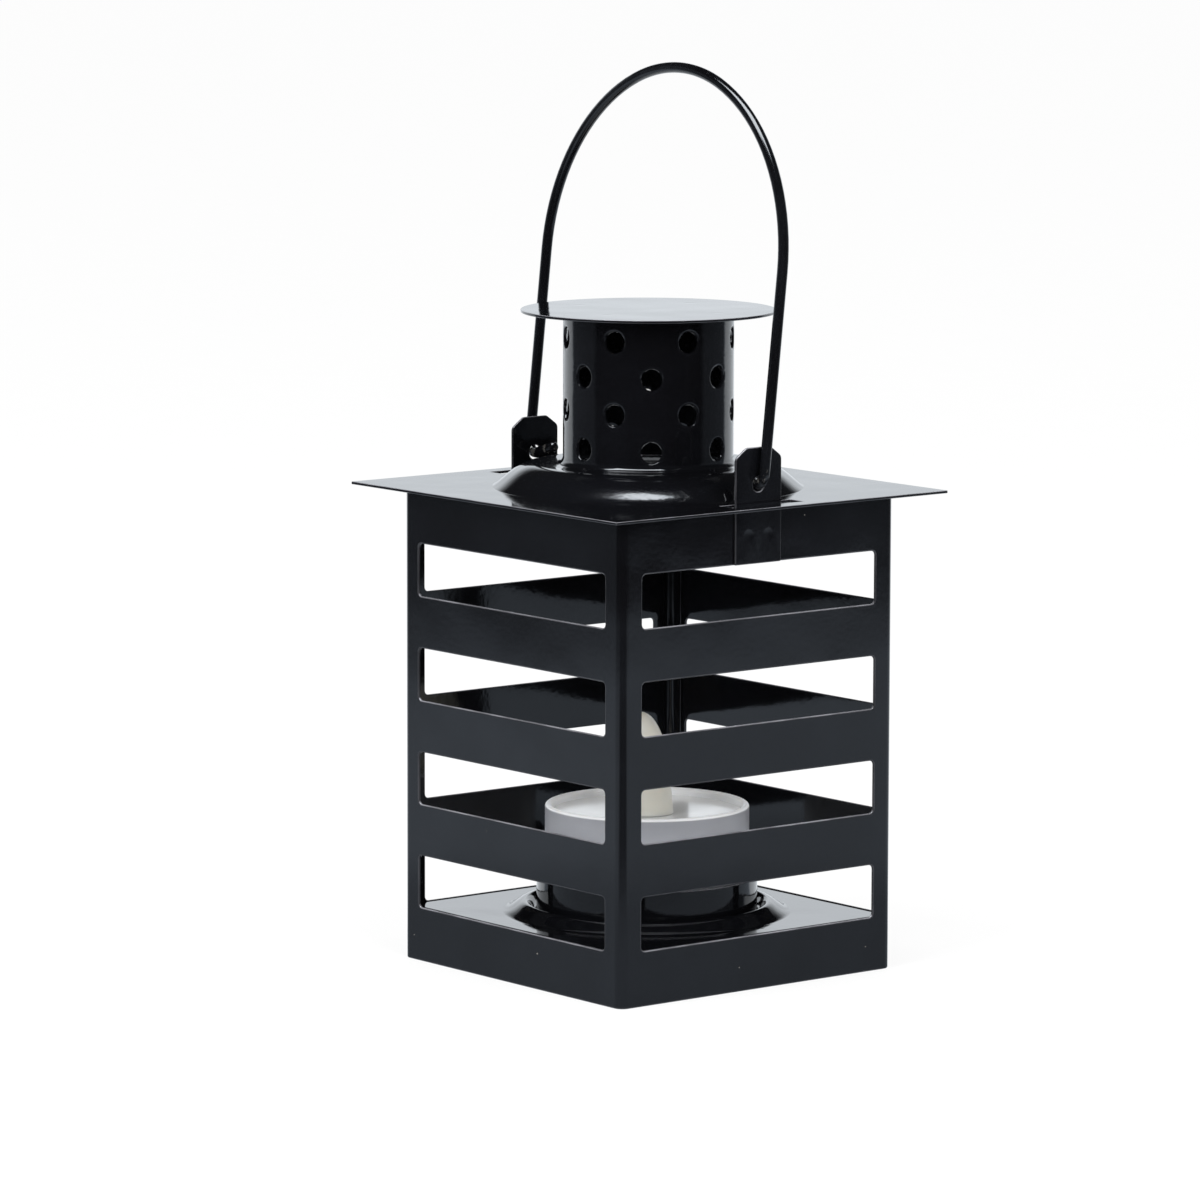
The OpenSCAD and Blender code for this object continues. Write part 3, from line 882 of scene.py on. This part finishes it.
def makeRoofPlate():
    low, high = boxOf("roof_plate")
    half = high.x
    slotIn = roof["earSlotIn"]
    slotOut = roof["earSlotOut"]
    slotHalf = roof["earSlotHalf"]
    bm = newShape()
    pen = Pen(bm, roof["domeFoot"], 0).line(slotIn, 0).line(slotIn, slotHalf)
    pen.line(slotOut, slotHalf).line(slotOut, 0).line(half, 0).line(half, half).line(0, half)
    pen.line(0, roof["domeFoot"]).arc(0, 0, -90, roof["quarterSteps"])
    plateFromQuarter(bm)
    slotEnds = [v for v in bm.verts if abs(v.co.x) > slotIn - near
                and abs(abs(v.co.y) - slotHalf) < near]
    shift(bm, 0, middleOf("ear_right").y, 0, slotEnds)

    dome = newShape()
    seatHeight = roof["domeHeight"] - roof["seatDrop"]
    pen = Pen(dome, roof["vent"], seatHeight).line(roof["seat"], seatHeight)
    pen.step(roof["domeCrest"], roof["domeHeight"], roof["seatSteps"])
    pen.shoulder(roof["domeFoot"], 0, roof["flare"], roof["domeSteps"])
    revolve(dome)
    addShape(bm, dome)
    weld(bm)
    lift(bm, low.z + roof["sheet"])
    thicken(bm, roof["sheet"], upwards, roof["burr"], roof["burr"])

    # enamel gathered round the foot of the chimney
    ring = newShape()
    foot = boxOf("chimney")[1].x
    seatTop = low.z + roof["sheet"] + seatHeight
    inside = foot - roof["filletIn"]
    sunk = seatTop - roof["filletSunk"]
    outside = foot + roof["fillet"]
    rise = seatTop + roof["fillet"]
    pen = Pen(ring, inside, sunk).line(outside, sunk).line(outside, seatTop)
    pen.arc(outside, rise, -90, roof["filletSteps"]).line(inside, rise).line(inside, sunk)
    weld(ring)
    revolve(ring)
    addShape(bm, ring)
    placePiece(bm, "roofPlate", "lid", ["roof_plate"], blackEnamel)


chimney = {
    "sheet": 0.5,
    "rimTurn": 2.0,
    "rimBend": 0.9,
    "rimSteps": 5,
    "rows": 4,
    "columns": 7,
    "pitch": 6.4,
    "firstRow": 3.4,
    "turn": -37,
    "rings": [(2.4, 0.0), (2.2, 0.015), (2.05, 0.07), (1.92, 0.22), (1.85, 0.5)],  # radius and depth
    "ringCuts": 3,
    "cellAcross": 16,
    "cellUp": 8,
    "seamReach": 0.02,
}


def makeVentCell(width, below, above):
    # a flat patch of sheet round one hole, drawn in by the punch; the hole's middle is the origin
    cell = newShape()
    upright = Matrix.Rotation(radians(90), 4, "X")
    across = chimney["cellAcross"]
    up = chimney["cellUp"]
    bmesh.ops.create_grid(cell, x_segments=across, y_segments=up, size=0.5, matrix=upright)
    bmesh.ops.scale(cell, vec=(width, 1, above + below), verts=cell.verts[:])
    lift(cell, (above - below) / 2)
    bmesh.ops.delete(cell, geom=[v for v in cell.verts if not v.is_boundary], context="VERTS")
    wide = chimney["rings"][0][0]
    bmesh.ops.create_circle(cell, segments=2 * (across + up), radius=wide, matrix=upright)
    bridged = bmesh.ops.bridge_loops(cell, edges=cell.edges[:])
    bmesh.ops.subdivide_edges(cell, edges=bridged["edges"], cuts=chimney["ringCuts"],
                              use_grid_fill=True)
    ring = [e for e in openEdges(cell.edges) if all(v.co.xz.length < wide + near for v in e.verts)]
    for was, now in zip(chimney["rings"], chimney["rings"][1:]):
        ring, verts = grow(cell, ring)
        share = now[0] / was[0]
        bmesh.ops.scale(cell, vec=(share, 1, share), verts=verts)
        shift(cell, 0, now[1] - was[1], 0, verts)
    return cell


def makeChimney():
    low, high = boxOf("chimney")
    radius = high.x
    height = high.z - low.z
    width = 2 * pi * radius / chimney["columns"]
    bend = chimney["rimBend"]
    pitch = chimney["pitch"]
    last = chimney["rows"] - 1

    bm = newShape()
    for row in range(chimney["rows"]):
        middle = chimney["firstRow"] + row * pitch
        below = middle - bend if row == 0 else pitch / 2
        above = height - bend - middle if row == last else pitch / 2
        cell = makeVentCell(width, below, above)
        shift(cell, width / 2 * (row % 2), 0, middle)
        bmesh.ops.spin(cell, geom=whole(cell), cent=(0, 0, 0), axis=(0, 0, 1), dvec=(width, 0, 0),
                       angle=0, steps=chimney["columns"] - 1, use_duplicate=True)
        addShape(bm, cell)

    for vert in bm.verts:
        # roll the flat sheet up
        angle = radians(chimney["turn"]) + vert.co.x / radius
        reach = radius - vert.co.y
        vert.co = (reach * cos(angle), reach * sin(angle), vert.co.z)
    weld(bm, chimney["seamReach"])

    # a rim is turned in at each end: a quarter bend, then straight in
    angles = [radians(90 * i / chimney["rimSteps"]) for i in range(1, chimney["rimSteps"] + 1)]
    profile = [(radius - bend + bend * cos(angle), bend * sin(angle)) for angle in angles]
    profile.append((radius - chimney["rimTurn"], bend))
    for level, way in ((bend, -1), (height - bend, 1)):
        rim = [e for e in openEdges(bm.edges) if all(abs(v.co.z - level) < near for v in e.verts)]
        was = radius
        for now, rise in profile:
            rim, verts = grow(bm, rim)
            bmesh.ops.scale(bm, vec=(now / was, now / was, 1), verts=verts)
            lift(bm, level + way * rise - verts[0].co.z, verts)
            was = now
    weld(bm)
    lift(bm, low.z)
    thicken(bm, chimney["sheet"], outwards)
    placePiece(bm, "chimneyTube", "lid", ["chimney"], blackEnamel)


cap = {
    "burr": 0.12,
    "rimSteps": 144,
    "weldRing": 14.2,
    "welds": 4,
    "weldRadius": 1.2,
    "weldDepth": 0.03,
    "weldTurn": 20,
}


def makeCap():
    low, high = boxOf("chimney_cap")
    bm = newShape()
    bmesh.ops.create_circle(bm, segments=cap["rimSteps"], radius=high.x)
    for i in range(cap["welds"]):
        dent = makeDent(cap["weldRadius"], cap["weldDepth"])
        turn(dent, -90, "X")
        shift(dent, cap["weldRing"], 0, 0)
        turn(dent, cap["weldTurn"] + i * 360 / cap["welds"], "Z")
        addShape(bm, dent)
    fillAround(bm, (0, 0, 1))
    bmesh.ops.recalc_face_normals(bm, faces=bm.faces[:])
    lift(bm, high.z)
    thicken(bm, high.z - low.z, upwards, cap["burr"], cap["burr"])
    placePiece(bm, "chimneyCap", "lid", ["chimney_cap"], blackEnamel)


# the bail: one wire, bent over the crown and hooked into the ears

bail = {
    "wire": 0.95,
    "sides": 20,
    "legHeight": 36.8,
    "crownInset": 2.4,
    "crownRise": 3.6,
    "hook": 1.9,
    "hookLength": 4.5,
    "hookRise": 17,
    "lean": 6.2,
    "crownSteps": 22,
    "sideSteps": 20,
    "legSteps": 6,
    "hookSteps": 16,
    "tipSteps": 5,
}


def makeBail():
    # the crown's arc and the side arcs meet at a tangent, crownRise above the legs' tops
    wire = bail["wire"]
    legX = boxOf("bail")[1].x - wire
    legTop = bail["legHeight"]
    rise = bail["crownRise"]
    crown = legX - bail["crownInset"]
    side = crown + (bail["crownInset"] + rise * rise / bail["crownInset"]) / 2
    meet = atan2(rise, side - legX)

    # the hook's end passes through the ear at the height of the hinge
    hook = bail["hook"]
    hookZ = sqrt(hook ** 2 - (middleOf("ear_right").x - legX + hook) ** 2)
    hookTurn = radians(90 + bail["hookRise"])
    inward = Vector((-cos(radians(bail["hookRise"])), 0, sin(radians(bail["hookRise"]))))

    bm = newShape()
    upright = Matrix.Translation((0, 0, legTop + rise + crown)) @ Matrix.Rotation(radians(90), 4, "Y")
    bmesh.ops.create_circle(bm, segments=bail["sides"], radius=wire, matrix=upright)

    def bend(ring, x, z, angle, steps):
        verts = once(vert for edge in ring for vert in edge.verts)
        turned = bmesh.ops.spin(bm, geom=ring + verts, cent=(x, 0, z), axis=(0, 1, 0), angle=angle,
                                steps=steps)
        return onlyEdges(turned["geom_last"])

    def draw(ring, way, share=1.0):
        ring, verts = grow(bm, ring)
        bmesh.ops.translate(bm, vec=way, verts=verts)
        if share != 1.0:
            middle = sum((v.co for v in verts), Vector()) / len(verts)
            bmesh.ops.scale(bm, vec=(share, share, share), verts=verts,
                            space=Matrix.Translation(-middle))
        return ring

    ring = bend(bm.edges[:], 0, legTop + rise, pi / 2 - meet, bail["crownSteps"])
    ring = bend(ring, legX - side, legTop, meet, bail["sideSteps"])
    for i in range(bail["legSteps"]):
        ring = draw(ring, (0, 0, (hookZ - legTop) / bail["legSteps"]))
    ring = bend(ring, legX - hook, hookZ, hookTurn, bail["hookSteps"])
    for i in range(2):
        ring = draw(ring, inward * (bail["hookLength"] / 2))

    # the tip is rounded off in rings that shrink round a quarter circle
    turns = [radians(90 * i / bail["tipSteps"]) for i in range(bail["tipSteps"])]
    for was, now in zip(turns, turns[1:]):
        ring = draw(ring, inward * ((sin(now) - sin(was)) * wire), cos(now) / cos(was))
    bmesh.ops.contextual_create(bm, geom=ring)
    mirrorAcross(bm, "X")
    turn(bm, -bail["lean"], "X")
    shift(bm, 0, middleOf("ear_right").y, boxOf("body_shell")[1].z + ear["hinge"])
    placePiece(bm, "bailWire", "bail", ["bail"], wireEnamel)


# the battery tealight: a cup with a round lip, a sagging dish with its collar, and the flame

tealight = {
    "wall": 1.2,
    "lipSteps": 14,
    "dishDepth": 1.3,
    "dishSag": 0.6,
    "dishSteps": 16,
    "dishBevel": 0.12,
    "dish": 1.0,
    "gap": 0.1,
    "ledgeWide": 0.8,
    "ledge": 0.8,
    "footRecess": 1.0,
    "base": 1.4,
    "collarHeight": 3.0,
    "collar": 1.2,
    "footBevel": 0.25,
    "steps": 128,
}

flame = {
    "radius": 4.7,
    "height": 19,
    "fullness": 4,
    "step": 0.9,
    "lean": 5,
    "heading": 231,
    "boreRadius": 2.6,
    "boreHeight": 8.7,
    "boreSteps": 8,
    "spigotEnd": 2.0,
    "rings": 20,
    "steps": 64,
    "smoothAngle": 50,
}


def makeTealightCup():
    low, high = boxOf("tealight_cup")
    radius = high.x
    height = high.z - low.z
    lip = tealight["wall"] / 2
    bore = radius - tealight["wall"]
    ledge = bore - tealight["ledgeWide"]
    thick = tealight["ledge"]
    dishRest = height - tealight["dishDepth"] - tealight["dish"]
    baseTop = tealight["footRecess"] + tealight["base"]
    foot = tealight["footBevel"]
    bm = newShape()
    pen = Pen(bm, radius - foot, 0).line(radius, foot).line(radius, height / 2)
    pen.line(radius, height - lip).arc(radius - lip, height - lip, 180, tealight["lipSteps"])
    pen.line(bore, dishRest).line(ledge, dishRest).line(ledge, dishRest - thick)
    pen.line(bore, dishRest - 2 * thick).line(bore, baseTop + 2 * thick)
    pen.line(ledge, baseTop + thick).line(ledge, baseTop).line(bore, baseTop)
    pen.line(bore, 0).line(radius - foot, 0)
    weld(bm)
    revolve(bm, tealight["steps"])
    lift(bm, low.z)
    placePiece(bm, "tealightShell", "tealight", ["tealight_cup"], shellPlastic)


def makeTealightDish():
    low, high = boxOf("tealight_cup")
    edge = boxOf("tealight_top")[1].x
    rim = high.z - low.z - tealight["dishDepth"]
    sag = tealight["dishSag"]
    middle = rim - sag
    collarIn = flame["radius"] - flame["step"] + tealight["gap"]
    collarOut = collarIn + tealight["collar"]
    collarFoot = middle - tealight["collarHeight"]
    rest = rim - tealight["dish"]
    bevelled = tealight["dishBevel"]
    steps = tealight["dishSteps"]
    bm = newShape()
    pen = Pen(bm, collarIn, middle)
    for i in range(1, steps + 1):
        reach = collarIn + (edge - bevelled - collarIn) * i / steps
        pen.line(reach, rim - sag * (1 - (reach / edge) ** 2))
    pen.line(edge, rim - bevelled).line(edge, rest).line(edge - tealight["ledgeWide"], rest)
    pen.line(collarOut, rest - sag).line(collarOut, collarFoot).line(collarIn, collarFoot)
    pen.line(collarIn, middle)
    weld(bm)
    revolve(bm, tealight["steps"])
    lift(bm, low.z)
    placePiece(bm, "tealightDish", "tealight", ["tealight_top"], dishPlastic)


def makeFlame():
    middle = boxOf("tealight_cup")[1].z - tealight["dishDepth"] - tealight["dishSag"]
    radius = flame["radius"]
    spigot = radius - flame["step"]
    spigotFoot = -flame["spigotEnd"]
    foot = tealight["dishSag"] / 4
    bore = flame["boreRadius"]
    boreTop = flame["boreHeight"] - tealight["collarHeight"] - bore

    # the flame leans, and is cut off level just over the middle of the dish
    bm = newShape()
    pen = Pen(bm, radius, 0)
    for i in range(1, flame["rings"] + 1):
        share = sin(radians(90 * i / flame["rings"]))
        pen.line(radius * sqrt(max(0, 1 - share ** flame["fullness"])), flame["height"] * share)
    revolve(bm, flame["steps"])
    lift(bm, -tealight["dishSag"])
    turn(bm, flame["lean"], "Y")
    turn(bm, flame["heading"], "Z")
    bmesh.ops.bisect_plane(bm, geom=whole(bm), dist=cutReach, plane_co=(0, 0, foot),
                           plane_no=(0, 0, 1), clear_inner=True)

    # the spigot under it, with the bore for the lamp
    plug = newShape()
    pen = Pen(plug, spigot, foot).line(spigot, spigotFoot).line(bore, spigotFoot)
    pen.line(bore, boreTop).arc(0, boreTop, 90, flame["boreSteps"])
    revolve(plug, flame["steps"])
    turn(plug, flame["heading"], "Z")
    addShape(bm, plug)
    bmesh.ops.bridge_loops(bm, edges=openEdges(bm.edges))
    weld(bm)
    lift(bm, middle)
    placePiece(bm, "candleFlame", "tealight", ["flame"], flamePlastic,
               flame["smoothAngle"])


makeBodyShell()
makeBasePlate()
makeCandleCup()
makeEar("rightEar", "ear_right", 1)
makeEar("leftEar", "ear_left", -1)
makeRoofPlate()
makeChimney()
makeCap()
makeBail()
makeTealightCup()
makeTealightDish()
makeFlame()
print("pieces made")


# the lamp, the cell, its contacts and the base keep their own solids

kept = {
    "led": makeLampResin(),
    "led_legs": makeMetal("tinnedWire"),
    "coin_cell": makeMetal("cellSteel"),
    "contact_plate": makeMetal("contactBrass"),
    "contact_spring": makeMetal("springBrass"),
    "tealight_base": makeMilkPlastic("basePlastic"),
    "battery_door": makeMilkPlastic("doorPlastic"),
    "door_screw": makeMetal("platedSteel"),
    "switch_knob": makeKnobPlastic(),
}
for node, material in kept.items():
    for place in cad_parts[node].material_slots:
        place.material = material
print("kept nodes finished")


# the studio, in metres: reflections see a bright backdrop behind the lantern, dim sides, a dark front
# and one lamp strip overhead, all fixed in the world

studio = {
    "front": (0.7796, -0.6263, 0),
    "right": (0.6263, 0.7796, 0),
    "white": (1, 1, 1, 1),
    "tint": (0.75, 0.86, 1, 1),
    "backdropTint": (0.9, 0.95, 1, 1),
    "soft": 0.9,
    "dark": 0.02,
    "dim": 0.16,
    "overhead": 0.02,
    "backdrop": 1.16,
    "backdropHigh": 1.45,
    "behindFrom": (-0.5, -0.58),
    "asideFrom": (0.29, 0.21),
    "brighterFrom": (0.12, 0.19),
    "aboveFrom": (0.2, 0.4),
}

lamp = {
    "power": 15,
    "high": (0.5, 0.6),
    "left": (-0.56, -0.5),
    "right": (0.26, 0.2),
    "back": (-0.082, -0.07),
    "front": (0.5, 0.42),
    "skew": 0.08,
}


def makeWorld():
    world = bpy.data.worlds.new("studio")
    bpy.context.scene.world = world
    room = Finish(world)
    way = room.node("TexCoord", out="Generated")
    facing = room.along(way, studio["front"])
    across = room.along(way, studio["right"])
    high = room.height(way)

    aside = room.ramp(facing, *studio["asideFrom"])
    behind = room.ramp(facing, *studio["behindFrom"])
    above = room.ramp(high, *studio["aboveFrom"])
    brighter = room.ramp(high, *studio["brighterFrom"])
    glow = fade(brighter, studio["backdrop"], studio["backdropHigh"])
    light = fade(behind, fade(aside, studio["dark"], studio["dim"]), glow)
    light = fade(above, light, studio["overhead"])

    along = facing - lamp["skew"] * across
    strip = room.ramp(high, *lamp["high"])
    strip = strip * room.ramp(across, *lamp["left"]) * room.ramp(across, *lamp["right"])
    strip = strip * room.ramp(along, *lamp["back"]) * room.ramp(along, *lamp["front"])
    light = light + strip * lamp["power"]

    camera = room.node("LightPath", out="Is Camera Ray")
    clear = camera | camera.other("Is Transmission Ray")
    glossy = camera.other("Is Glossy Ray")
    cool = room.blend(behind | strip, studio["tint"], studio["backdropTint"])
    plain = room.node("Background", None, {"Color": studio["white"], "Strength": 1.0})
    lit = room.node("Background", None, {
        "Color": room.blend(glossy, studio["white"], cool),
        "Strength": fade(glossy, studio["soft"], light)})
    mixed = room.node("MixShader", None, {0: clear, 1: lit, 2: plain})
    room.node("OutputWorld", None, {"Surface": mixed})


paper = {
    "radius": 4,
    "sides": 96,
    "pale": (0.96, 0.96, 0.96, 1),
    "grainScale": 60,
    "seenWhite": 0.8,  # of what the camera sees; the rest keeps the shadow
    "near": 0.66,
    "shaded": 0.43,
    "far": 0.13,
    "shadeFrom": (0.1, 0.17),
    "middle": (0.03, 0.04, 0),
    "fallFrom": (0.62, 0.32),
    "behindFrom": (-0.5, -0.6),
    "asideFrom": (0.3, 0.15),
    "frontDark": 0.85,
    "frontFrom": (0.72, 0.92),
    "frontReach": (0.08, 0.2),
}


def makeFloor():
    bm = bmesh.new()
    bmesh.ops.create_circle(bm, cap_ends=True, segments=paper["sides"], radius=paper["radius"])
    mesh = bpy.data.meshes.new("floor")
    bm.to_mesh(mesh)
    bm.free()
    floor = bpy.data.objects.new("floor", mesh)
    bpy.context.collection.objects.link(floor)

    finish = newFinish("paleFloor")
    place = finish.place()
    offset = finish.node("VectorMath", {"operation": "SUBTRACT"}, {0: place, 1: paper["middle"]})
    far = finish.length(place)
    heading = finish.along(place, studio["front"]) / far
    behind = finish.ramp(heading, *paper["behindFrom"])
    aside = finish.ramp(heading, *paper["asideFrom"])
    fall = finish.ramp(finish.length(offset), *paper["fallFrom"])
    front = finish.ramp(heading, *paper["frontFrom"]) * finish.ramp(far, *paper["frontReach"])
    # painted shadow in the glow that reflections see: darker within the shade reach round the lantern
    shade = finish.ramp(far, *paper["shadeFrom"])
    light = fade(fall, aside * paper["far"], fade(shade, paper["shaded"], paper["near"]))
    light = light * (1 - front * paper["frontDark"])
    light = fade(behind, light, studio["backdrop"])

    # lit by the room, white to the camera but for the shadow, and its own glow in reflections, painted
    # darker round the lantern as shadow and darker towards the front
    grain = finish.noise(paper["grainScale"], detail=3, roughness=0.6)
    matt = finish.blend(grain, studio["white"], paper["pale"])
    tint = finish.blend(behind, studio["tint"], studio["backdropTint"])
    plain = finish.node("BsdfDiffuse", None, {"Color": matt})
    seen = finish.node("Emission", None, {"Color": studio["white"], "Strength": 1.0})
    gleam = finish.node("Emission", None, {"Color": tint, "Strength": light})
    camera = finish.node("LightPath", out="Is Camera Ray")
    clear = camera | camera.other("Is Transmission Ray")
    glossed = finish.node("MixShader", None, {0: camera.other("Is Glossy Ray"), 1: plain, 2: gleam})
    mixed = finish.node("MixShader", None, {0: clear * paper["seenWhite"], 1: glossed, 2: seen})
    finish.node("OutputMaterial", None, {"Surface": mixed})
    mesh.materials.append(finish.owner)


softBoxes = {
    "places": [((0.1, -1, 0.5), 9), ((1, -0.1, 0.5), 7.5)],  # direction and power
    "away": 1.2,
    "size": 0.6,
}


def makeSoftBoxes():
    # one on each side of the camera, kept out of the reflections
    for toBox, power in softBoxes["places"]:
        data = bpy.data.lights.new("softBox", "AREA")
        data.size = softBoxes["size"]
        data.energy = power
        box = bpy.data.objects.new("softBox", data)
        bpy.context.collection.objects.link(box)
        box.visible_glossy = False
        way = Vector(toBox).normalized()
        aimed = way.to_track_quat("Z", "Y").to_matrix().to_4x4()
        box.matrix_world = Matrix.Translation(way * softBoxes["away"]) @ aimed


view = {
    "azimuth": 51.22,
    "elevation": 7.79,
    "distance": 1.148,
    "aim": (-0.0053, -0.0066, 0.0653),
    "lens": 194.2,
    "sensor": 36,
    "clip": (0.05, 20),
    "roll": 0.128,
}


def makeCamera():
    side = radians(view["azimuth"])
    up = radians(view["elevation"])
    back = Vector((sin(side) * cos(up), -cos(side) * cos(up), sin(up)))
    data = bpy.data.cameras.new("camera")
    data.lens = view["lens"]
    data.sensor_width = view["sensor"]
    data.clip_start, data.clip_end = view["clip"]
    camera = bpy.data.objects.new("camera", data)
    bpy.context.collection.objects.link(camera)
    aimed = back.to_track_quat("Z", "Y").to_matrix().to_4x4()
    stand = Matrix.Translation(Vector(view["aim"]) + back * view["distance"])
    camera.matrix_world = stand @ aimed @ Matrix.Rotation(radians(view["roll"]), 4, "Z")
    bpy.context.scene.camera = camera


makeWorld()
makeFloor()
makeSoftBoxes()
makeCamera()
bpy.context.scene.view_settings.view_transform = "Standard"
print("studio made")
